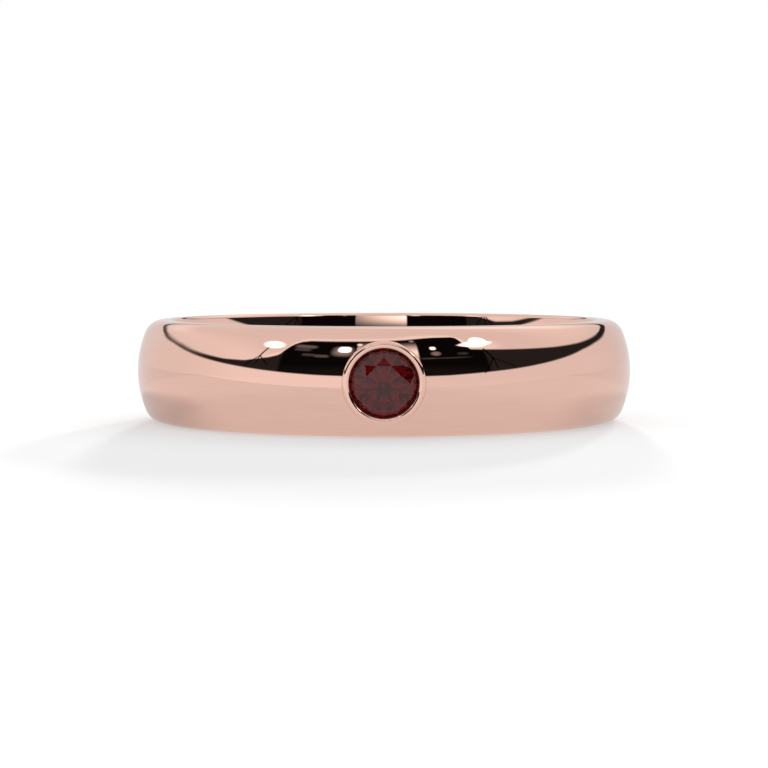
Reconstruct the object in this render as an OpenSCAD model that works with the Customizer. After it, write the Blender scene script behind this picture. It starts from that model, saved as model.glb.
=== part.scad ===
/* [Band] */
// Inside diameter at the straight strip, where the finger goes
finger_d = 16.5; // [15:0.1:22]
// Thickness of the wall at mid-height
band_t = 1.52; // [1.5:0.02:3]
// Width of the band, which is its height when it lies on its side
band_w = 4; // [3.8:0.1:7]
// Radius of the dome across the outside
crown_r = 3.98; // [3.8:0.02:8]
// Radius that turns the dome over into each flat side
shoulder_r = 0.73; // [0.4:0.01:0.8]
// Width of the straight strip in the middle of the inside
strip_w = 1.1; // [1:0.1:2]
// Radius that eases the inside open from the strip to each side
comfort_r = 6.4; // [6:0.1:60]
// Radius of the small round between the inside and each flat side
inner_edge_r = 0.16; // [0.04:0.01:0.2]

/* [Bezel] */
// How far the collar stands out past the dome
bezel_rise = 0.09; // [0.04:0.01:0.4]
// Thickness of the collar's lip, from its mouth to its outside
lip_w = 0.29; // [0.24:0.01:0.5]
// Radius of the lip's outer edge
rim_r = 0.13; // [0.04:0.01:0.15]
// Radius of the lip's inner edge
mouth_edge_r = 0.12; // [0.02:0.01:0.12]
// How far the lip laps over the edge of the stone
lip_lap = 0.02; // [0.01:0.01:0.06]
// Diameter of the hole through the wall behind the stone
culet_hole_d = 0.8; // [0.6:0.1:1]

/* [Garnet] */
// Diameter of the stone
garnet_d = 2.5; // [2:0.05:2.6]
// Table, corner to corner, as a share of the diameter
table_share = 0.55; // [0.5:0.01:0.62]
// Angle of the kite facets, from the table's plane
crown_angle = 34.5; // [30:0.5:37]
// Angle of the main facets of the underside
pavilion_angle = 40.9; // [38:0.1:42]
// Thickness of the girdle as a share of the diameter
girdle_share = 0.03; // [0.02:0.005:0.05]
// How far the star facets reach from the table to the girdle
star_share = 0.5; // [0.4:0.01:0.6]
// How far the lower halves reach from the girdle to the point
lower_half_share = 0.77; // [0.7:0.01:0.85]
// Width of the tiny facet at the point
culet_d = 0.04; // [0.02:0.01:0.1]
// How far the table stands out past the lip
table_rise = 0.2; // [0:0.01:0.22]
// Gap between the stone and its seat
seat_gap = 0.02; // [0.015:0.005:0.05]

/* [Hidden] */
$fn = 180;
crown_steps = 24;
shoulder_steps = 10;
comfort_steps = 5;
edge_steps = 6;

finger_r = finger_d / 2;
outer_r = finger_r + band_t;
half_w = band_w / 2;

// Dome and shoulder arcs meet on one tangent, at this tilt
crown_x = outer_r - crown_r;
shoulder_z = half_w - shoulder_r;
shoulder_tilt = asin(shoulder_z / (crown_r - shoulder_r));
shoulder_x = crown_x + (crown_r - shoulder_r) * cos(shoulder_tilt);

// Comfort arc and inner edge round meet on one tangent, at this tilt
comfort_x = finger_r + comfort_r;
comfort_z = strip_w / 2;
edge_z = half_w - inner_edge_r;
edge_tilt = asin((edge_z - comfort_z) / (comfort_r - inner_edge_r));
edge_x = comfort_x - (comfort_r - inner_edge_r) * cos(edge_tilt);

// Stone, measured from the bottom of its girdle, with its table up
garnet_r = garnet_d / 2;
table_r = garnet_r * table_share;
girdle_h = garnet_d * girdle_share;
crown_h = (garnet_r - table_r) * tan(crown_angle);
table_h = girdle_h + crown_h;
pavilion_h = garnet_r * tan(pavilion_angle);
facet_step = 45;
half_step = facet_step / 2;
table_flat_r = table_r * cos(half_step);
star_r = table_flat_r + star_share * (garnet_r - table_flat_r);
star_h = table_h - (star_r * cos(half_step) - table_r) * tan(crown_angle);
lower_r = garnet_r * (1 - lower_half_share);
lower_h = -(garnet_r - lower_r * cos(half_step)) * tan(pavilion_angle);

// Setting, measured out from the axis of the band
face_h = outer_r + bezel_rise;
mouth_r = garnet_r - lip_lap;
bezel_r = mouth_r + lip_w;
seat_r = garnet_r + seat_gap;
girdle_bottom_h = face_h + table_rise - table_h;
lap_h = girdle_bottom_h + girdle_h + lip_lap + seat_gap;
ledge_h = girdle_bottom_h - 2 * seat_gap;
seat_tip_r = culet_hole_d * 0.4;
seat_tip_h = ledge_h - (seat_r - seat_tip_r) * tan(pavilion_angle);
setting_base_h = finger_r + band_t * 0.12;
pocket_base_h = finger_r + band_t * 0.24;
pocket_margin = 0.1;

// Points along an arc, after its first one
function arc(centre, r, from, to, steps) = [
    for (i = [1 : steps])
        let(angle = from + (to - from) * i / steps)
        centre + r * [cos(angle), sin(angle)]
];

// Outline of the band's upper half, from the strip up the inside and out to the dome
upper_outline = concat(
    [[finger_r, comfort_z]],
    arc([comfort_x, comfort_z], comfort_r, 180, 180 - edge_tilt, comfort_steps),
    arc([edge_x, edge_z], inner_edge_r, 180 - edge_tilt, 90, edge_steps),
    [[shoulder_x, half_w]],
    arc([shoulder_x, shoulder_z], shoulder_r, 90, shoulder_tilt, shoulder_steps)
);

// Section of the band, about its mid-height
module band_section() {
    last = len(upper_outline) - 1;
    dome = arc([crown_x, 0], crown_r, shoulder_tilt, -shoulder_tilt, crown_steps);
    polygon(concat(
        upper_outline,
        [for (i = [0 : crown_steps - 2]) dome[i]],
        [for (i = [last : -1 : 0]) [upper_outline[i].x, -upper_outline[i].y]]
    ));
}

// Turns what is built upwards to point out of the front of the band
module at_front() {
    translate([0, 0, half_w]) rotate([90, 0, 0]) children();
}

// Collar that rises from the wall, with its lip, its mouth and the seat of the stone
module setting() {
    rotate_extrude() polygon(concat(
        [[0, setting_base_h], [bezel_r, setting_base_h], [bezel_r, face_h - rim_r]],
        arc([bezel_r - rim_r, face_h - rim_r], rim_r, 0, 90, edge_steps),
        [[mouth_r + mouth_edge_r, face_h]],
        arc([mouth_r + mouth_edge_r, face_h - mouth_edge_r], mouth_edge_r, 90, 180, edge_steps),
        [[mouth_r, lap_h], [seat_r, lap_h], [seat_r, ledge_h]],
        [[seat_tip_r, seat_tip_h], [0, seat_tip_h]]
    ));
}

module band() {
    color([0.86, 0.64, 0.57])
    difference() {
        union() {
            difference() {
                translate([0, 0, half_w]) rotate_extrude() band_section();
                at_front() translate([0, 0, pocket_base_h])
                    cylinder(r = bezel_r - pocket_margin, h = band_t);
            }
            at_front() setting();
        }
        at_front() translate([0, 0, finger_r - band_t / 2])
            cylinder(d = culet_hole_d, h = band_t);
    }
}

// Unit normal of the plane through three points, which run anticlockwise as seen from outside
function plane_normal(a, b, c) = let(n = cross(b - a, c - a)) n / norm(n);

// Point at a radius, a bearing and a height
function at(r, bearing, h) = [r * cos(bearing), r * sin(bearing), h];

// Everything outside the plane of a facet
module outside(a, b, c) {
    n = plane_normal(a, b, c);
    size = 2 * garnet_d;
    translate(a) rotate([0, acos(n.z), atan2(n.y, n.x)])
        translate([-size / 2, -size / 2, 0]) cube(size);
}

// Cuts that stand on one kite: the kite, its star, its four halves and the main below
module facet_cuts() {
    kite_top = at(table_r, 0, table_h);
    star_tip = at(star_r, half_step, star_h);
    star_tip_back = at(star_r, -half_step, star_h);
    girdle_top = at(garnet_r, 0, girdle_h);
    girdle_top_next = at(garnet_r, half_step, girdle_h);
    girdle_top_back = at(garnet_r, -half_step, girdle_h);
    lower_tip = at(lower_r, half_step, lower_h);
    lower_tip_back = at(lower_r, -half_step, lower_h);
    girdle_low = at(garnet_r, 0, 0);
    girdle_low_next = at(garnet_r, half_step, 0);
    girdle_low_back = at(garnet_r, -half_step, 0);
    outside(kite_top, star_tip_back, star_tip);
    outside(kite_top, star_tip, at(table_r, facet_step, table_h));
    outside(star_tip, girdle_top, girdle_top_next);
    outside(star_tip_back, girdle_top_back, girdle_top);
    outside(lower_tip, girdle_low_next, girdle_low);
    outside(lower_tip_back, girdle_low, girdle_low_back);
    outside([0, 0, -pavilion_h], lower_tip, lower_tip_back);
}

module garnet() {
    bottom_h = -pavilion_h + culet_d / 2 * tan(pavilion_angle);
    color([0.4, 0.03, 0.06])
    at_front() translate([0, 0, girdle_bottom_h]) difference() {
        translate([0, 0, bottom_h]) cylinder(r = garnet_r, h = table_h - bottom_h);
        for (bearing = [0 : facet_step : 359]) rotate([0, 0, half_step + bearing]) facet_cuts();
    }
}

band();
garnet();
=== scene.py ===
import bpy
import math
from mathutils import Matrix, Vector


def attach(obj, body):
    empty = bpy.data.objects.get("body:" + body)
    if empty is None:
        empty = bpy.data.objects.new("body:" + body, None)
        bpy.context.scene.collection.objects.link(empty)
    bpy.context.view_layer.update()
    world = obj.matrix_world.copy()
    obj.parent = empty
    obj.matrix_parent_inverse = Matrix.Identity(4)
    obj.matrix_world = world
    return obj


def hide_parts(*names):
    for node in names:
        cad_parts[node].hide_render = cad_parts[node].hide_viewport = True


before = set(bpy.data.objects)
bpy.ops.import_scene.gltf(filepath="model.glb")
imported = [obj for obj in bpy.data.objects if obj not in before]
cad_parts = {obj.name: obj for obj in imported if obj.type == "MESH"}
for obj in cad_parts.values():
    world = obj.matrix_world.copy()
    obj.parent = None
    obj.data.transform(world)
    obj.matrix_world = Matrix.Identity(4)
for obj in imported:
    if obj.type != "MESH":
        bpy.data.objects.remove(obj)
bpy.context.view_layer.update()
mm = 0.001
print("frame loaded:", sorted(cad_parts))


# Small helpers for building node trees

class Field:
    # a value in a node tree that adds and multiplies like a number
    def __init__(self, tree, socket):
        self.tree = tree
        self.socket = socket

    def __add__(self, other):
        return calc(self.tree, "ADD", self, other)

    def __radd__(self, other):
        return calc(self.tree, "ADD", other, self)

    def __sub__(self, other):
        return calc(self.tree, "SUBTRACT", self, other)

    def __rsub__(self, other):
        return calc(self.tree, "SUBTRACT", other, self)

    def __mul__(self, other):
        return calc(self.tree, "MULTIPLY", self, other)

    def __rmul__(self, other):
        return calc(self.tree, "MULTIPLY", other, self)

    def __truediv__(self, other):
        return calc(self.tree, "DIVIDE", self, other)


def plug(tree, value, socket):
    if isinstance(value, Field):
        tree.links.new(value.socket, socket)
    elif value is not None:
        socket.default_value = value


def node(tree, kind, inputs=None, **settings):
    made = tree.nodes.new(kind)
    for name, value in settings.items():
        setattr(made, name, value)
    for name, value in (inputs or {}).items():
        plug(tree, value, made.inputs[name])
    return made


def out(tree, made, name=0):
    return Field(tree, made.outputs[name])


def calc(tree, operation, a, b=None, c=None):
    made = node(tree, "ShaderNodeMath", operation=operation)
    for socket, value in zip(made.inputs, (a, b, c)):
        plug(tree, value, socket)
    return out(tree, made)


def ramp(value, start, end):
    # soft step from 0 at start to 1 at end
    made = node(value.tree, "ShaderNodeMapRange", {"Value": value, "From Min": start, "From Max": end},
                interpolation_type="SMOOTHSTEP")
    return out(value.tree, made)


def newTree(name, kind, inputs, outputs):
    tree = bpy.data.node_groups.new(name, kind)
    for label, socketKind, value in inputs:
        made = tree.interface.new_socket(label, in_out="INPUT", socket_type="NodeSocket" + socketKind)
        if value is not None:
            made.default_value = value
    for label, socketKind in outputs:
        tree.interface.new_socket(label, in_out="OUTPUT", socket_type="NodeSocket" + socketKind)
    asked = tree.nodes.new("NodeGroupInput")
    result = tree.nodes.new("NodeGroupOutput")
    return tree, {s.name: Field(tree, s) for s in asked.outputs if s.name}, result


# Outlines of turned shapes, run clockwise: radius, height and the direction that the surface faces

def arcPoints(centre, radius, start, end, steps):
    points = []
    for i in range(steps + 1):
        angle = math.radians(start + (end - start) * i / steps)
        lean = (math.cos(angle), math.sin(angle))
        points.append((centre[0] + radius * lean[0], centre[1] + radius * lean[1], *lean))
    return points


def linePoints(start, end):
    run, rise = end[0] - start[0], end[1] - start[1]
    length = math.hypot(run, rise)
    lean = (-rise / length, run / length)
    return [(*start, *lean), (*end, *lean)]


def outlineObject(name, points):
    mesh = bpy.data.meshes.new(name)
    mesh.from_pydata([(x * mm, 0, z * mm) for x, z, leanX, leanZ in points], [], [])
    facing = mesh.attributes.new("facing", "FLOAT_VECTOR", "POINT")
    for item, (x, z, leanX, leanZ) in zip(facing.data, points):
        item.vector = (leanX, 0, leanZ)
    made = bpy.data.objects.new(name, mesh)
    bpy.context.scene.collection.objects.link(made)
    return made


# Sizes in mm and degrees of the hoop, the stone and the collar that holds it

band = {
    "fingerRadius": 8.25, "wall": 1.52, "width": 4.0,
    "domeRadius": 3.98, "shoulderRadius": 0.73, "stripWidth": 1.1, "comfortRadius": 6.4, "innerEdge": 0.16,
    "domeSteps": 52, "shoulderSteps": 30, "comfortSteps": 12, "edgeSteps": 10, "stepsRound": 360,
    "shoulderLag": 0.85,  # how far the shoulder's shading lags behind its shape
}
stone = {
    "diameter": 2.5, "tableShare": 0.55, "crownAngle": 34.5, "pavilionAngle": 40.9, "girdleShare": 0.03,
    "starShare": 0.5, "lowerShare": 0.77, "culet": 0.04, "tableRise": 0.2, "seatGap": 0.02,
    "girdleSteps": 96,
}
collar = {
    "rise": 0.09, "lip": 0.29, "rim": 0.13, "mouthEdge": 0.12, "lap": 0.02, "hole": 0.8,
    "seatTip": 0.32, "rimSteps": 12, "mouthSteps": 10, "stepsRound": 144,
    # where it starts in the wall and where the pocket for it does, as shares of the wall
    "baseShare": 0.12, "pocketShare": 0.24, "pocketMargin": 0.1, "pocketReach": 1,
}


def easedFacing(points, start, end, lag):
    # polishing softens where an arc begins: its facing turns slowly at first and catches up later
    eased = []
    for i, (x, z, leanX, leanZ) in enumerate(points):
        share = 1 - i / (len(points) - 1)
        share -= lag * share * (1 - share) ** 2
        angle = math.radians(end + (start - end) * share)
        eased.append((x, z, math.cos(angle), math.sin(angle)))
    return eased


def hoopOutline(b):
    half = b["width"] / 2
    outerRadius = b["fingerRadius"] + b["wall"]
    domeX = outerRadius - b["domeRadius"]
    shoulderZ = half - b["shoulderRadius"]
    reach = b["domeRadius"] - b["shoulderRadius"]
    shoulderTilt = math.degrees(math.asin(shoulderZ / reach))
    shoulderX = domeX + reach * math.cos(math.radians(shoulderTilt))
    edgeZ = half - b["innerEdge"]
    stripEnd = b["stripWidth"] / 2
    ease = b["comfortRadius"] - b["innerEdge"]
    edgeTilt = math.degrees(math.asin((edgeZ - stripEnd) / ease))
    easeX = b["fingerRadius"] + b["comfortRadius"]
    edgeX = easeX - ease * math.cos(math.radians(edgeTilt))
    upper = arcPoints((easeX, stripEnd), b["comfortRadius"], 180, 180 - edgeTilt, b["comfortSteps"])
    upper += arcPoints((edgeX, edgeZ), b["innerEdge"], 180 - edgeTilt, 90, b["edgeSteps"])[1:]
    shoulder = arcPoints((shoulderX, shoulderZ), b["shoulderRadius"], 90, shoulderTilt, b["shoulderSteps"])
    upper += easedFacing(shoulder, 90, shoulderTilt, b["shoulderLag"])
    dome = arcPoints((domeX, 0), b["domeRadius"], shoulderTilt, -shoulderTilt, b["domeSteps"])[1:-1]
    lower = [(x, -z, leanX, -leanZ) for x, z, leanX, leanZ in reversed(upper)]
    return upper + dome + lower + upper[:1]


def settingHeights(b, c, s):
    # heights are measured out from the band's axis
    radius = s["diameter"] / 2
    girdle = s["diameter"] * s["girdleShare"]
    crown = radius * (1 - s["tableShare"]) * math.tan(math.radians(s["crownAngle"]))
    face = b["fingerRadius"] + b["wall"] + c["rise"]
    girdleBottom = face + s["tableRise"] - girdle - crown
    return {
        "face": face, "girdleBottom": girdleBottom,
        "lap": girdleBottom + girdle + c["lap"] + s["seatGap"],
        "ledge": girdleBottom - 2 * s["seatGap"],
        "mouth": radius - c["lap"], "seat": radius + s["seatGap"], "outside": radius - c["lap"] + c["lip"],
        "base": b["fingerRadius"] + b["wall"] * c["baseShare"],
        "pocket": b["fingerRadius"] + b["wall"] * c["pocketShare"],
    }


def collarOutline(c, s, h):
    tipHeight = h["ledge"] - (h["seat"] - c["seatTip"]) * math.tan(math.radians(s["pavilionAngle"]))
    rimCentre = (h["outside"] - c["rim"], h["face"] - c["rim"])
    edgeCentre = (h["mouth"] + c["mouthEdge"], h["face"] - c["mouthEdge"])
    points = linePoints((0, tipHeight), (c["seatTip"], tipHeight))
    points += linePoints((c["seatTip"], tipHeight), (h["seat"], h["ledge"]))
    points += linePoints((h["seat"], h["ledge"]), (h["seat"], h["lap"]))
    points += linePoints((h["seat"], h["lap"]), (h["mouth"], h["lap"]))
    points += linePoints((h["mouth"], h["lap"]), (h["mouth"], edgeCentre[1]))[:1]
    points += arcPoints(edgeCentre, c["mouthEdge"], 180, 90, c["mouthSteps"])
    points += arcPoints(rimCentre, c["rim"], 90, 0, c["rimSteps"])
    points += linePoints((h["outside"], rimCentre[1]), (h["outside"], h["base"]))[1:]
    points += linePoints((h["outside"], h["base"]), (0, h["base"]))
    return points


def plugOutline(radius, low, high):
    # a plain round plug, which cuts a hole
    return (linePoints((0, high), (radius, high)) + linePoints((radius, high), (radius, low))
            + linePoints((radius, low), (0, low)))


def turnedTree():
    # turns an outline round the upright axis, and carries along the direction that each point faces
    weldDistance = 1e-7
    tree, asked, result = newTree(
        "turnedSolid", "GeometryNodeTree",
        [("Outline", "Object", None), ("Steps Round", "Int", 360), ("Lean", "Vector", None),
         ("Middle Height", "Float", 0.0)],
        [("Solid", "Geometry")])
    outline = out(tree, node(tree, "GeometryNodeObjectInfo", {"Object": asked["Outline"]}), "Geometry")
    count = out(tree, node(tree, "GeometryNodeAttributeDomainSize", {"Geometry": outline}), "Point Count")
    grid = node(tree, "GeometryNodeMeshGrid",
                {"Vertices X": asked["Steps Round"] + 1, "Vertices Y": count})
    index = out(tree, node(tree, "GeometryNodeInputIndex"))
    column = calc(tree, "FLOOR", (index + 0.5) / count)
    row = index - column * count
    turn = column * (2 * math.pi) / asked["Steps Round"]
    facing = out(tree, node(tree, "GeometryNodeInputNamedAttribute", {"Name": "facing"},
                            data_type="FLOAT_VECTOR"), "Attribute")
    place = out(tree, node(tree, "GeometryNodeInputPosition"))
    turned = []
    for value in (place, facing):
        sample = node(tree, "GeometryNodeSampleIndex", {"Geometry": outline, "Index": row},
                      data_type="FLOAT_VECTOR")
        plug(tree, value, sample.inputs["Value"])
        flat = node(tree, "ShaderNodeVectorRotate", {"Vector": out(tree, sample), "Angle": turn},
                    rotation_type="Z_AXIS")
        turned.append(out(tree, node(tree, "ShaderNodeVectorRotate",
                                     {"Vector": out(tree, flat), "Rotation": asked["Lean"]},
                                     rotation_type="EULER_XYZ")))
    lift = node(tree, "ShaderNodeCombineXYZ", {"Z": asked["Middle Height"]})
    lifted = node(tree, "ShaderNodeVectorMath", operation="ADD")
    plug(tree, turned[0], lifted.inputs[0])
    plug(tree, out(tree, lift), lifted.inputs[1])
    stored = node(tree, "GeometryNodeStoreNamedAttribute",
                  {"Geometry": out(tree, grid), "Name": "pointFacing", "Value": turned[1]},
                  data_type="FLOAT_VECTOR", domain="POINT")
    placed = node(tree, "GeometryNodeSetPosition",
                  {"Geometry": out(tree, stored), "Position": out(tree, lifted)})
    perPoint = out(tree, node(tree, "GeometryNodeInputNamedAttribute", {"Name": "pointFacing"},
                              data_type="FLOAT_VECTOR"), "Attribute")
    corners = node(tree, "GeometryNodeStoreNamedAttribute",
                   {"Geometry": out(tree, placed), "Name": "facing", "Value": perPoint},
                   data_type="FLOAT_VECTOR", domain="CORNER")
    cleaned = node(tree, "GeometryNodeRemoveAttribute",
                   {"Geometry": out(tree, corners), "Name": "pointFacing"})
    closed = node(tree, "GeometryNodeMergeByDistance",
                  {"Geometry": out(tree, cleaned), "Distance": weldDistance})
    outwards = node(tree, "GeometryNodeFlipFaces", {"Mesh": out(tree, closed)})
    tree.links.new(outwards.outputs[0], result.inputs["Solid"])
    return tree


def bandTree(turnedSolid):
    # the hoop with a pocket, joined with the collar that fills it, and a hole through both
    solver = "MANIFOLD"
    tree, asked, result = newTree(
        "solderedBand", "GeometryNodeTree",
        [("Hoop Outline", "Object", None), ("Collar Outline", "Object", None),
         ("Pocket Outline", "Object", None), ("Hole Outline", "Object", None), ("Steps Round", "Int", 360),
         ("Collar Steps", "Int", 144), ("Middle Height", "Float", 0.0), ("Metal", "Material", None)],
        [("Geometry", "Geometry")])

    def turned(outline, steps, lean):
        made = node(tree, "GeometryNodeGroup", node_tree=turnedSolid)
        plug(tree, asked[outline], made.inputs["Outline"])
        plug(tree, asked[steps], made.inputs["Steps Round"])
        plug(tree, asked["Middle Height"], made.inputs["Middle Height"])
        made.inputs["Lean"].default_value = (math.radians(lean), 0, 0)
        return out(tree, made)

    def cut(first, second):
        return out(tree, node(tree, "GeometryNodeMeshBoolean", {"Mesh 1": first, "Mesh 2": second},
                              operation="DIFFERENCE", solver=solver))

    hoop = cut(turned("Hoop Outline", "Steps Round", 0), turned("Pocket Outline", "Collar Steps", 90))
    both = node(tree, "GeometryNodeMeshBoolean", {"Mesh 2": hoop}, operation="UNION", solver=solver)
    plug(tree, turned("Collar Outline", "Collar Steps", 90), both.inputs["Mesh 2"])
    whole = cut(out(tree, both), turned("Hole Outline", "Collar Steps", 90))
    finish = node(tree, "GeometryNodeSetMaterial", {"Geometry": whole, "Material": asked["Metal"]})
    real = node(tree, "GeometryNodeRealizeInstances", {"Geometry": out(tree, finish)})
    tree.links.new(real.outputs[0], result.inputs[0])
    return tree


def roundCutTree():
    # a round brilliant: the hull of six rings of facet corners, which follow from its angles and shares
    facets = 8
    halfStep = math.pi / facets
    nudge = 1e-4
    tree, asked, result = newTree(
        "roundCut", "GeometryNodeTree",
        [("Diameter", "Float", 1.0), ("Table Share", "Float", 0.55), ("Crown Angle", "Float", 0.6),
         ("Pavilion Angle", "Float", 0.7), ("Girdle Share", "Float", 0.03), ("Star Share", "Float", 0.5),
         ("Lower Share", "Float", 0.77), ("Culet", "Float", 0.0), ("Girdle Steps", "Int", 96),
         ("Girdle Height", "Float", 0.0), ("Middle Height", "Float", 0.0), ("Glass", "Material", None)],
        [("Geometry", "Geometry")])
    radius = asked["Diameter"] * 0.5
    crownSlope = calc(tree, "TANGENT", asked["Crown Angle"])
    pavilionSlope = calc(tree, "TANGENT", asked["Pavilion Angle"])
    girdle = asked["Diameter"] * asked["Girdle Share"]
    tableRadius = radius * asked["Table Share"]
    tableHeight = girdle + (radius - tableRadius) * crownSlope
    tableFlat = tableRadius * math.cos(halfStep)
    starRadius = tableFlat + asked["Star Share"] * (radius - tableFlat)
    starHeight = tableHeight - (starRadius * math.cos(halfStep) - tableRadius) * crownSlope
    lowerRadius = radius * (1 - asked["Lower Share"])
    lowerHeight = (lowerRadius * math.cos(halfStep) - radius) * pavilionSlope
    culetRadius = asked["Culet"] * (0.5 / math.cos(halfStep))
    culetHeight = (asked["Culet"] * 0.5 - radius) * pavilionSlope

    def ring(ringRadius, height, turn):
        circle = node(tree, "GeometryNodeMeshCircle", {"Vertices": facets, "Radius": ringRadius})
        lift = node(tree, "ShaderNodeCombineXYZ", {"Z": height})
        return out(tree, node(tree, "GeometryNodeTransform", {
            "Geometry": out(tree, circle), "Translation": out(tree, lift), "Rotation": (0, 0, turn)}))

    # the round side bulges past the flat half facets, so the girdle is thinnest in the middle of each
    middle = halfStep / 2
    index = out(tree, node(tree, "GeometryNodeInputIndex"))
    bearing = index * (2 * math.pi) / asked["Girdle Steps"]
    fromMiddle = calc(tree, "MODULO", bearing + nudge, halfStep) - nudge - middle
    bulge = radius * (calc(tree, "COSINE", fromMiddle) - math.cos(middle))
    upperSlope = (starHeight - girdle) / ((radius - starRadius) * math.cos(middle))
    lowerSlope = (0 - lowerHeight) / ((radius - lowerRadius) * math.cos(middle))

    def girdleEdge(height):
        circle = node(tree, "GeometryNodeMeshCircle", {"Vertices": asked["Girdle Steps"], "Radius": radius})
        lift = node(tree, "ShaderNodeCombineXYZ", {"Z": height})
        return out(tree, node(tree, "GeometryNodeSetPosition",
                              {"Geometry": out(tree, circle), "Offset": out(tree, lift)}))

    corners = node(tree, "GeometryNodeJoinGeometry")
    for part in (ring(tableRadius, tableHeight, halfStep), ring(starRadius, starHeight, 0.0),
                 girdleEdge(girdle - bulge * upperSlope), girdleEdge(bulge * lowerSlope),
                 ring(lowerRadius, lowerHeight, 0.0), ring(culetRadius, culetHeight, 0.0)):
        plug(tree, part, corners.inputs[0])
    hull = node(tree, "GeometryNodeConvexHull", {"Geometry": out(tree, corners)})
    seat = node(tree, "ShaderNodeCombineXYZ",
                {"Y": 0 - asked["Girdle Height"], "Z": asked["Middle Height"]})
    seated = node(tree, "GeometryNodeTransform", {
        "Geometry": out(tree, hull), "Translation": out(tree, seat), "Rotation": (math.pi / 2, 0, 0)})
    sharp = node(tree, "GeometryNodeSetShadeSmooth",
                 {"Geometry": out(tree, seated), "Shade Smooth": False})
    finish = node(tree, "GeometryNodeSetMaterial",
                  {"Geometry": out(tree, sharp), "Material": asked["Glass"]})
    real = node(tree, "GeometryNodeRealizeInstances", {"Geometry": out(tree, finish)})
    tree.links.new(real.outputs[0], result.inputs[0])
    return tree


def grown(name, tree, values):
    # runs a node tree on an empty mesh and keeps the result as a plain mesh
    made = bpy.data.objects.new(name, bpy.data.meshes.new(name))
    bpy.context.scene.collection.objects.link(made)
    modifier = made.modifiers.new("grow", "NODES")
    modifier.node_group = tree
    identifiers = {s.name: s.identifier for s in tree.interface.items_tree if s.in_out == "INPUT"}
    for label, value in values.items():
        modifier[identifiers[label]] = value
    graph = bpy.context.evaluated_depsgraph_get()
    mesh = bpy.data.meshes.new_from_object(made.evaluated_get(graph), preserve_all_data_layers=True,
                                           depsgraph=graph)
    made.modifiers.remove(modifier)
    empty = made.data
    made.data = mesh
    mesh.name = name
    bpy.data.meshes.remove(empty)
    return made


def faceAsTurned(mesh):
    # shades the metal by the direction kept with its outlines, so that its reflections run clean
    leastLength = 0.5
    stored = mesh.attributes["facing"]
    normals = []
    for polygon in mesh.polygons:
        for corner in polygon.loop_indices:
            lean = Vector(stored.data[corner].vector)
            if lean.length < leastLength:
                lean = polygon.normal.copy()
            lean.normalize()
            if lean.dot(polygon.normal) < 0:
                lean = -lean
            normals.append(lean)
    mesh.attributes.remove(stored)
    for polygon in mesh.polygons:
        polygon.use_smooth = True
    mesh.normals_split_custom_set(normals)


# Materials

def newMaterial(name):
    made = bpy.data.materials.new(name)
    made.use_nodes = True
    made.node_tree.nodes.clear()
    output = made.node_tree.nodes.new("ShaderNodeOutputMaterial")
    shader = made.node_tree.nodes.new("ShaderNodeBsdfPrincipled")
    made.node_tree.links.new(shader.outputs[0], output.inputs["Surface"])
    return made, made.node_tree, shader


def objectPlace(tree):
    place = node(tree, "ShaderNodeTexCoord")
    return out(tree, place, "Object")


def mixedColour(tree, share, first, second):
    # a Mix node has its share at socket 0 and its colours at 6 and 7, and puts the colour out at 2
    return out(tree, node(tree, "ShaderNodeMix", {0: share, 6: first, 7: second}, data_type="RGBA"), 2)


def surfaceMarksTree():
    # fine marks over broad clouds: they shift the colour, the roughness and the height of a surface
    deepAt = 0.3
    lightAt = 0.7
    tree, asked, result = newTree(
        "surfaceMarks", "ShaderNodeTree",
        [("Vector", "Vector", None), ("Mark Scale", "Float", 1000.0), ("Cloud Scale", "Float", 200.0),
         ("Deep Colour", "Color", None), ("Light Colour", "Color", None), ("Cloud Share", "Float", 0.5),
         ("Least Roughness", "Float", 0.02), ("Most Roughness", "Float", 0.05),
         ("Bump Strength", "Float", 0.05), ("Bump Depth", "Float", 0.00001)],
        [("Colour", "Color"), ("Roughness", "Float"), ("Normal", "Vector")])
    marks = out(tree, node(tree, "ShaderNodeTexNoise", {
        "Vector": asked["Vector"], "Scale": asked["Mark Scale"], "Detail": 3.0, "Roughness": 0.6}))
    clouds = out(tree, node(tree, "ShaderNodeTexNoise", {
        "Vector": asked["Vector"], "Scale": asked["Cloud Scale"], "Detail": 2.0, "Distortion": 0.4}))
    share = asked["Cloud Share"]
    mixed = calc(tree, "MULTIPLY_ADD", clouds, share, marks * (1 - share))
    mask = ramp(mixed, deepAt, lightAt)
    colour = mixedColour(tree, mask, asked["Deep Colour"], asked["Light Colour"])
    roughness = asked["Least Roughness"] + (asked["Most Roughness"] - asked["Least Roughness"]) * mask
    bump = node(tree, "ShaderNodeBump", {
        "Strength": asked["Bump Strength"], "Distance": asked["Bump Depth"], "Height": mixed})
    plug(tree, colour, result.inputs["Colour"])
    plug(tree, roughness, result.inputs["Roughness"])
    plug(tree, out(tree, bump), result.inputs["Normal"])
    return tree


surfaceMarks = surfaceMarksTree()


def marked(tree, shader, vector, values):
    # puts the marks on a shader's colour, roughness and normal
    made = node(tree, "ShaderNodeGroup", node_tree=surfaceMarks)
    plug(tree, vector, made.inputs["Vector"])
    for label, value in values.items():
        plug(tree, value, made.inputs[label])
    tree.links.new(made.outputs["Colour"], shader.inputs["Base Color"])
    tree.links.new(made.outputs["Roughness"], shader.inputs["Roughness"])
    tree.links.new(made.outputs["Normal"], shader.inputs["Normal"])


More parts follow.
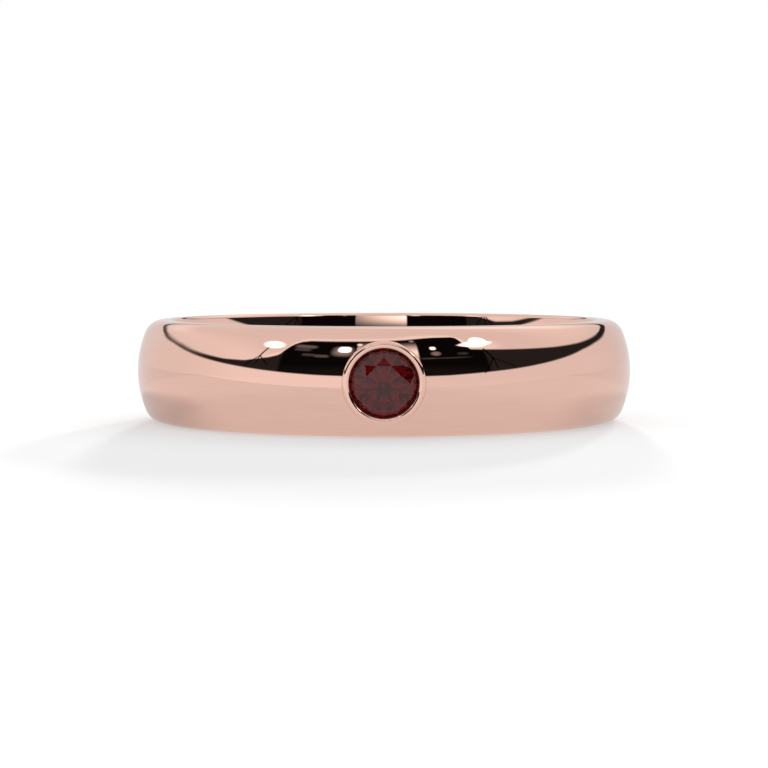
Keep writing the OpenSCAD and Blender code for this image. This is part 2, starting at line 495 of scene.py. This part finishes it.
def roseGold():
    # mirror polish, with the faint long marks of a buffing wheel that ran round the ring
    turnRadius = 10 * mm
    markShortening = 0.06
    made, tree, shader = newMaterial("polishedRoseGold")
    split = node(tree, "ShaderNodeSeparateXYZ", {"Vector": objectPlace(tree)})
    x, y, z = (out(tree, split, axis) for axis in "XYZ")
    fromAxis = calc(tree, "SQRT", x * x + y * y)
    around = calc(tree, "ARCTAN2", x, y) * turnRadius
    wrapped = node(tree, "ShaderNodeCombineXYZ", {"X": around * markShortening, "Y": fromAxis, "Z": z})
    marked(tree, shader, out(tree, wrapped), {
        "Mark Scale": 9000.0, "Cloud Scale": 600.0, "Cloud Share": 0.4,
        "Deep Colour": (0.852, 0.540, 0.444, 1), "Light Colour": (0.872, 0.562, 0.467, 1),
        "Least Roughness": 0.006, "Most Roughness": 0.022, "Bump Strength": 0.006, "Bump Depth": 0.000001})
    shader.inputs["Metallic"].default_value = 1
    return made


def garnetGlass():
    # dark red, a little uneven as in natural stone, with a skin that mirrors weakly
    made, tree, shader = newMaterial("garnetStone")
    marked(tree, shader, objectPlace(tree), {
        "Mark Scale": 4000.0, "Cloud Scale": 900.0, "Cloud Share": 0.8,
        "Deep Colour": (0.135, 0.0032, 0.0034, 1), "Light Colour": (0.175, 0.004, 0.0042, 1),
        "Least Roughness": 0.0, "Most Roughness": 0.012, "Bump Strength": 0.01, "Bump Depth": 0.000001})
    shader.inputs["Transmission Weight"].default_value = 0.78
    shader.inputs["IOR"].default_value = 1.76
    shader.inputs["Specular Tint"].default_value = (0.54, 0.54, 0.54, 1)
    return made


# Floor: a pale board that glows, as a lit table does; the glow that the gold sees holds painted light and
# painted shade

board = {
    "halfSize": 2,  # metres
    # its colour and glow for the camera, and its glow for the gold
    "cameraColour": (0.1, 0.1, 0.1, 1), "cameraGlow": 0.45, "goldGlow": 0.73,
    # painted light far out to the front left, and painted shade next to the ring and behind it, all in the
    # glow that the gold sees
    # each pair gives, in mm, where a change of the last one begins and where it is full
    "paintedLightFarOut": (-20.3, -21.8), "farGlow": 0.03, "farLeft": (6, -6), "farLeftGlow": 0.13,
    "ringEdge": (8.5, 9.3), "shadeMiddle": 3, "shadeReach": (15.5, 12.2), "shadeFront": (-8, -4.5),
    "shadeBack": (11, 5), "shade": 0.14, "shadeLeft": (5, -5), "leftShade": 0.08,
    "behind": (2, 12), "shadeBehind": 0.06,
}


def paleTable():
    made, tree, shader = newMaterial("paleTable")
    marked(tree, shader, objectPlace(tree), {
        "Mark Scale": 2500.0, "Cloud Scale": 60.0, "Cloud Share": 0.5,
        "Deep Colour": (0.44, 0.44, 0.44, 1), "Light Colour": (0.46, 0.46, 0.46, 1),
        "Least Roughness": 0.6, "Most Roughness": 0.8, "Bump Strength": 0.05, "Bump Depth": 0.00002})
    shader.inputs["Emission Color"].default_value = (1, 1, 1, 1)
    shader.inputs["Specular IOR Level"].default_value = 0.0

    def change(value, ends):
        start, end = board[ends]
        return ramp(value, start * mm, end * mm)

    # the gold sees painted light in its glow far out to the front left, and painted shade next to the ring
    # and, dimmer, behind it
    seen = out(tree, node(tree, "ShaderNodeLightPath"), "Is Camera Ray")
    split = node(tree, "ShaderNodeSeparateXYZ", {"Vector": objectPlace(tree)})
    x, y = (out(tree, split, axis) for axis in "XY")
    # painted light far out to the front left
    paintedLightFarOut = change(y, "paintedLightFarOut") * (board["farGlow"] + board["farLeftGlow"] * change(x, "farLeft"))
    # painted shade next to the ring, from its edge out to a point behind its middle, more of it to the left
    fromAxis = calc(tree, "SQRT", x * x + y * y)
    fromMiddle = y - board["shadeMiddle"] * mm
    further = calc(tree, "SQRT", x * x + fromMiddle * fromMiddle)
    outside = change(fromAxis, "ringEdge")
    paintedShadeBeside = outside * change(further, "shadeReach") * change(y, "shadeFront") * change(y, "shadeBack")
    paintedShadeBeside = paintedShadeBeside * (board["shade"] + board["leftShade"] * change(x, "shadeLeft"))
    # painted shade behind the ring
    behind = outside * change(y, "behind") * board["shadeBehind"]
    goldGlow = (board["goldGlow"] + paintedLightFarOut - paintedShadeBeside - behind) * (1 - seen)
    plug(tree, goldGlow + board["cameraGlow"] * seen, shader.inputs["Emission Strength"])
    marksColour = Field(tree, shader.inputs["Base Color"].links[0].from_socket)
    plug(tree, mixedColour(tree, seen, board["cameraColour"], marksColour), shader.inputs["Base Color"])
    return made


# Build the band

heights = settingHeights(band, collar, stone)
middleHeight = band["width"] / 2 * mm
pocketRadius = heights["outside"] - collar["pocketMargin"]
pocketTop = heights["face"] + collar["pocketReach"]
holeLow = band["fingerRadius"] - band["wall"] / 2
holeHigh = band["fingerRadius"] + band["wall"] / 2
outlines = {
    "Hoop Outline": outlineObject("hoopOutline", hoopOutline(band)),
    "Collar Outline": outlineObject("collarOutline", collarOutline(collar, stone, heights)),
    "Pocket Outline": outlineObject(
        "pocketOutline", plugOutline(pocketRadius, heights["pocket"], pocketTop)),
    "Hole Outline": outlineObject("holeOutline", plugOutline(collar["hole"] / 2, holeLow, holeHigh)),
}
ringBand = grown("ringBand", bandTree(turnedTree()), {
    **outlines, "Steps Round": band["stepsRound"], "Collar Steps": collar["stepsRound"],
    "Middle Height": middleHeight, "Metal": roseGold()})
for helper in outlines.values():
    helperMesh = helper.data
    bpy.data.objects.remove(helper)
    bpy.data.meshes.remove(helperMesh)
faceAsTurned(ringBand.data)
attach(ringBand, "root")
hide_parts("band")
print("band made:", len(ringBand.data.polygons), "faces")

# Build the stone
garnet = grown("garnetStone", roundCutTree(), {
    "Diameter": stone["diameter"] * mm, "Table Share": stone["tableShare"],
    "Crown Angle": math.radians(stone["crownAngle"]), "Pavilion Angle": math.radians(stone["pavilionAngle"]),
    "Girdle Share": stone["girdleShare"], "Star Share": stone["starShare"],
    "Lower Share": stone["lowerShare"], "Culet": stone["culet"] * mm, "Girdle Steps": stone["girdleSteps"],
    "Girdle Height": heights["girdleBottom"] * mm, "Middle Height": middleHeight,
    "Glass": garnetGlass()})
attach(garnet, "root")
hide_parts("garnet")
print("stone made:", len(garnet.data.polygons), "faces")

# Lay the floor
half = board["halfSize"]
floorMesh = bpy.data.meshes.new("floor")
floorMesh.from_pydata([(-half, -half, 0), (half, -half, 0), (half, half, 0), (-half, half, 0)], [],
                      [(0, 1, 2, 3)])
floor = bpy.data.objects.new("floor", floorMesh)
bpy.context.scene.collection.objects.link(floor)
floorMesh.materials.append(paleTable())
print("floor laid")


# Studio: a pale room with a dark wall that is tallest behind the camera, lamps on stands and a pale panel

# directions are in degrees: the bearing is 0 towards the camera and 90 to the picture's right
# a pair named From or To gives where a soft step begins and where it is full
studio = {
    "ceiling": 0.85, "strength": 1.0,
    # wide soft glows: bearing, height, half width, half height, softness, squareness and brightness
    "glows": [(157, 48, 24, 13, 0.85, 2, 0.42), (-142, 28, 16, 6, 0.9, 2, 0.12),
              (110, 44, 20, 26, 0.7, 2, 0.09)],
    "leftGlow": {"backFrom": (-155, -130), "frontTo": (-50, -75), "topTo": (38, 22), "brightness": 0.1},
    # heights of the dark wall's foot and top, by bearing
    "darkFoot": [(-180, 17.6), (-165, 18), (-152, 18.4), (-145, 17.6), (-137, 15), (-133, 14.5),
                 (-128, 14.6), (-121, 15.1), (-116, 15), (-105, 14), (-90, 12.2), (-75, 10.2), (-60, 8.1),
                 (-45, 6.1), (-30, 4.6), (0, 3.2), (30, 4.4), (60, 8), (90, 12.4), (108, 14.8), (120, 15.1),
                 (128, 14.7), (133, 14.5), (137, 15), (145, 17.6), (152, 18.4), (165, 18), (180, 17.6)],
    "darkTop": [(-180, 20.5), (-165, 20.9), (-151, 21.2), (-143, 20.5), (-133, 17.2), (-129, 16.6),
                (-121, 16.9), (-112, 17.1), (-105, 16.4), (-92, 15.5), (-80, 14.7), (-68, 15.4),
                (-60, 18.6), (-56, 20), (-51, 23.3), (-49.4, 28.5), (-47, 34), (-44, 37.4), (-39, 39.3),
                (-30, 40), (-20, 40.8), (0, 42), (12, 43), (28, 45.6), (39, 45), (43, 30), (60, 27),
                (90, 22), (108, 19.6), (120, 18.4), (127, 17.8), (131, 18.4), (142, 21.3), (151, 21.8),
                (165, 20.9), (180, 20.5)],
    "footSoftness": 0.8, "topSoftness": 0.8,
    # its brightness, more at both sides, and in a haze to the left that also softens its top
    "darkness": 0.003, "sideDarkness": 0.018, "sideFrom": (48.5, 50.5),
    "haze": 0.09, "hazeFrom": (-86, -112), "hazeTo": (-180, -165), "hazeSoftness": 0.7,
    # light that its top edge catches, in a strip that is wider to the right
    "edge": {"rise": 1.5, "width": 4, "rightWidth": 7, "widenFrom": (0, 20), "solidShare": 0.4,
             "sideTo": (64, 52), "brightness": 0.2},
    # brightness of the pale wall below it, by bearing, and the heights where the ceiling's gives way to it
    "lowWall": [(-180, 0.76), (-155, 0.78), (-140, 0.84), (-110, 0.88), (-85, 0.94), (-70, 1.0),
                (-20, 1.02), (20, 0.88), (110, 0.87), (135, 0.79), (155, 0.76), (180, 0.76)],
    "lowWallTo": (30, 14),
    # lamps and lit things in the dark, with the same values as the glows
    "lamps": [(-19.4, 31.9, 3.0, 2.8, 0.3, 3, 3.4), (-20, 29.8, 4.6, 4.4, 0.5, 3, 0.28),
              (-57, 32.2, 5.4, 3.1, 0.35, 2, 2.0), (-39.5, 33.2, 5.4, 1.6, 0.3, 4, 0.14),
              (-40.5, 30, 4, 1.3, 0.4, 4, 0.07), (-36.5, 25, 3.2, 1.3, 0.3, 4, 0.06),
              (-30, 24.3, 3.4, 1.4, 0.3, 4, 0.1), (24.4, 33, 1.5, 1.6, 0.3, 3, 2.0),
              (25.2, 27.3, 2.2, 2, 0.5, 2, 0.25), (50, 36.8, 4.6, 4.6, 0.2, 1.8, 3.0),
              (47.5, 34.8, 9, 2.8, 0.25, 1.5, 3.0), (-12.5, 37.6, 1.3, 1.1, 0.4, 3, 1.0),
              (14.7, 41.3, 1.2, 0.9, 0.5, 2, 0.4), (32.5, 22.4, 8, 0.6, 0.5, 4, 0.05),
              (21, 22.5, 3.5, 0.7, 0.5, 3, 0.06), (38.5, 26.2, 2.6, 1.3, 0.4, 3, 0.04),
              (0, 6, 48, 7, 0.6, 3, 0.006)],
    # legs of the lamps' stands: from a bearing and height to another one, and half the thickness
    "stands": [(-58.9, 29.2, -60.8, 21, 0.5), (-60.8, 21, -67, 10.8, 0.35), (-60.8, 21, -61.5, 13.5, 0.3),
               (-60.8, 21, -55.1, 12.8, 0.35), (50.2, 29.3, 52.5, 19.8, 0.5), (52.5, 19.8, 46.7, 6, 0.35),
               (52.5, 19.8, 53.3, 9.7, 0.3), (52.5, 19.8, 62.7, 10.5, 0.35)],
    "standSoftness": 0.4, "standShade": 0.9,
    # pale panel in the middle of the dark wall, brighter to the left in its lower part
    "panel": {"leftFrom": (-13.9, -12.7), "rightTo": (17.2, 16.2), "footFrom": (11, 22.5), "topTo": (41, 28),
              "brightness": 1.3, "slant": 0.05, "slantTo": (30, 21)},
}


def patchTree():
    # a soft patch round a direction, an ellipse at squareness 2 and more of a rectangle above it
    tree, asked, result = newTree(
        "softPatch", "ShaderNodeTree",
        [("Bearing", "Float", 0.0), ("Elevation", "Float", 0.0), ("At Bearing", "Float", 0.0),
         ("At Elevation", "Float", 0.0), ("Half Width", "Float", 5.0), ("Half Height", "Float", 5.0),
         ("Softness", "Float", 0.3), ("Squareness", "Float", 2.0)],
        [("Mask", "Float")])
    apart = calc(tree, "WRAP", asked["Bearing"] - asked["At Bearing"], 180.0, -180.0)
    across = calc(tree, "ABSOLUTE", apart / asked["Half Width"])
    upwards = calc(tree, "ABSOLUTE", (asked["Elevation"] - asked["At Elevation"]) / asked["Half Height"])
    total = calc(tree, "POWER", across, asked["Squareness"])
    total = total + calc(tree, "POWER", upwards, asked["Squareness"])
    distance = calc(tree, "POWER", total, calc(tree, "DIVIDE", 1.0, asked["Squareness"]))
    mask = ramp(distance, 1 + asked["Softness"], 1 - asked["Softness"])
    tree.links.new(mask.socket, result.inputs[0])
    return tree


def buildWorld():
    highest = 50  # degrees, more than the dark wall reaches
    brightest = 2
    world = bpy.data.worlds.new("studio")
    bpy.context.scene.world = world
    world.use_nodes = True
    tree = world.node_tree
    tree.nodes.clear()
    direction = node(tree, "ShaderNodeTexCoord")
    split = node(tree, "ShaderNodeSeparateXYZ", {"Vector": out(tree, direction, "Generated")})
    x, y, z = (out(tree, split, axis) for axis in "XYZ")
    degrees = 180 / math.pi
    bearing = calc(tree, "ARCTAN2", x, 0 - y) * degrees
    elevation = calc(tree, "ARCSINE", z) * degrees

    def byBearing(steps, full):
        # reads a list of (bearing, value) steps at the bearing of the ray
        curve = node(tree, "ShaderNodeFloatCurve", {"Value": bearing / 360 + 0.5})
        points = curve.mapping.curves[0].points
        for i, (at, value) in enumerate(steps):
            place = (at / 360 + 0.5, value / full)
            if 0 < i < len(steps) - 1:
                points.new(*place)
            else:
                points[0 if i == 0 else -1].location = place
        for point in points:
            point.handle_type = "VECTOR"
        curve.mapping.update()
        return out(tree, curve) * full

    wallFoot = byBearing(studio["darkFoot"], highest)
    wallTop = byBearing(studio["darkTop"], highest)
    haze = ramp(bearing, *studio["hazeFrom"]) * ramp(bearing, *studio["hazeTo"])
    footSoftness = studio["footSoftness"]
    topSoftness = studio["topSoftness"] + studio["hazeSoftness"] * haze
    dark = ramp(elevation, wallFoot - footSoftness, wallFoot + footSoftness)
    dark = dark * ramp(elevation, wallTop + topSoftness, wallTop - topSoftness)

    patch = patchTree()

    def lamp(at, up, halfWidth, halfHeight, softness, squareness):
        made = node(tree, "ShaderNodeGroup", node_tree=patch)
        for label, value in (("Bearing", bearing), ("Elevation", elevation), ("At Bearing", at),
                             ("At Elevation", up), ("Half Width", halfWidth), ("Half Height", halfHeight),
                             ("Softness", softness), ("Squareness", squareness)):
            plug(tree, value, made.inputs[label])
        return out(tree, made)

    def stroke(fromBearing, fromUp, toBearing, toUp, thickness):
        # a soft line from one direction to another
        across = toBearing - fromBearing
        rise = toUp - fromUp
        spread = thickness * studio["standSoftness"]
        along = (bearing - fromBearing) * across + (elevation - fromUp) * rise
        along = along / (across * across + rise * rise)
        along = calc(tree, "MINIMUM", calc(tree, "MAXIMUM", along, 0.0), 1.0)
        offBearing = bearing - fromBearing - along * across
        offUp = elevation - fromUp - along * rise
        away = calc(tree, "SQRT", offBearing * offBearing + offUp * offUp)
        return ramp(away, thickness + spread, thickness - spread)

    rightGlow, backGlow, sideGlow = (lamp(*place) * brightness for *place, brightness in studio["glows"])
    leftGlow = studio["leftGlow"]
    leftSide = ramp(bearing, *leftGlow["backFrom"]) * ramp(bearing, *leftGlow["frontTo"])
    leftSide = leftSide * ramp(elevation, *leftGlow["topTo"]) * leftGlow["brightness"]
    upper = studio["ceiling"] + rightGlow + backGlow + leftSide + sideGlow
    lower = byBearing(studio["lowWall"], brightest)
    pale = upper + (lower - upper) * ramp(elevation, *studio["lowWallTo"])

    edge = studio["edge"]
    sideways = calc(tree, "ABSOLUTE", bearing)
    edgeWidth = edge["width"] + edge["rightWidth"] * ramp(bearing, *edge["widenFrom"])
    edgeGlow = ramp(elevation, wallTop, wallTop + edge["rise"])
    edgeGlow = edgeGlow * ramp(elevation, wallTop + edgeWidth, wallTop + edgeWidth * edge["solidShare"])
    edgeGlow = edgeGlow * ramp(sideways, *edge["sideTo"]) * edge["brightness"]
    darkness = studio["darkness"] + studio["sideDarkness"] * ramp(sideways, *studio["sideFrom"])
    darkness = darkness + studio["haze"] * haze
    room = (pale + edgeGlow) * (1 - dark) + dark * darkness
    for stand in studio["stands"]:
        room = room * (1 - stroke(*stand) * studio["standShade"])

    glow = 0.0
    for *place, brightness in studio["lamps"]:
        glow = glow + lamp(*place) * brightness
    panel = studio["panel"]
    panelMask = ramp(bearing, *panel["leftFrom"]) * ramp(bearing, *panel["rightTo"])
    panelMask = panelMask * ramp(elevation, *panel["footFrom"]) * ramp(elevation, *panel["topTo"])
    slant = bearing * panel["slant"] * ramp(elevation, *panel["slantTo"])
    glow = glow + panelMask * (panel["brightness"] - slant)

    total = room + glow
    colour = node(tree, "ShaderNodeCombineColor", {"Red": total, "Green": total, "Blue": total})
    background = node(tree, "ShaderNodeBackground",
                      {"Color": out(tree, colour), "Strength": studio["strength"]})
    # the camera sees plain white
    white = node(tree, "ShaderNodeBackground", {"Color": (1, 1, 1, 1), "Strength": 1.0})
    seen = out(tree, node(tree, "ShaderNodeLightPath"), "Is Camera Ray")
    mix = node(tree, "ShaderNodeMixShader", {0: seen, 1: out(tree, background), 2: out(tree, white)})
    final = node(tree, "ShaderNodeOutputWorld")
    tree.links.new(mix.outputs[0], final.inputs["Surface"])


buildWorld()
print("studio built")

# Three soft lights behind the ring, which throw its shadow to the front and a little left
lightDistance = 0.2
backLights = {
    "highBackLight": {"bearing": 155, "elevation": 40, "spread": 30, "strength": 0.45},
    "lowBackLight": {"bearing": 179, "elevation": 10.3, "spread": 4.5, "strength": 3.8},
    "sideBackLight": {"bearing": 166, "elevation": 14, "spread": 4, "strength": 2.3},
}
for name, values in backLights.items():
    lightData = bpy.data.lights.new(name, "SUN")
    lightData.angle = math.radians(values["spread"])
    lightData.energy = values["strength"]
    light = bpy.data.objects.new(name, lightData)
    bearing = math.radians(values["bearing"])
    elevation = math.radians(values["elevation"])
    towards = Vector((math.sin(bearing) * math.cos(elevation), -math.cos(bearing) * math.cos(elevation),
                      math.sin(elevation)))
    light.location = towards * lightDistance
    light.rotation_euler = towards.to_track_quat("Z", "Y").to_euler()
    light.visible_camera = False
    light.visible_glossy = False
    bpy.context.scene.collection.objects.link(light)
print("lights placed:", len(backLights))

# Camera, fitted to the photograph: distances and the sensor in mm, the tilt in degrees
camera = {
    "distance": 93.073, "aboveMiddle": 4.9138, "downTilt": 3.3868, "focalPixels": 2335.36,
    "imagePixels": 768, "sensor": 36, "nearest": 5, "furthest": 20000,
}
cameraData = bpy.data.cameras.new("camera")
cameraData.sensor_width = camera["sensor"]
cameraData.lens = camera["focalPixels"] * camera["sensor"] / camera["imagePixels"]
cameraData.clip_start = camera["nearest"] * mm
cameraData.clip_end = camera["furthest"] * mm
cameraObject = bpy.data.objects.new("camera", cameraData)
cameraObject.location = (0, -camera["distance"] * mm, (band["width"] / 2 + camera["aboveMiddle"]) * mm)
cameraObject.rotation_euler = (math.radians(90 - camera["downTilt"]), 0, 0)
bpy.context.scene.collection.objects.link(cameraObject)
bpy.context.scene.camera = cameraObject
bpy.context.scene.view_settings.view_transform = "Standard"
print("camera set")
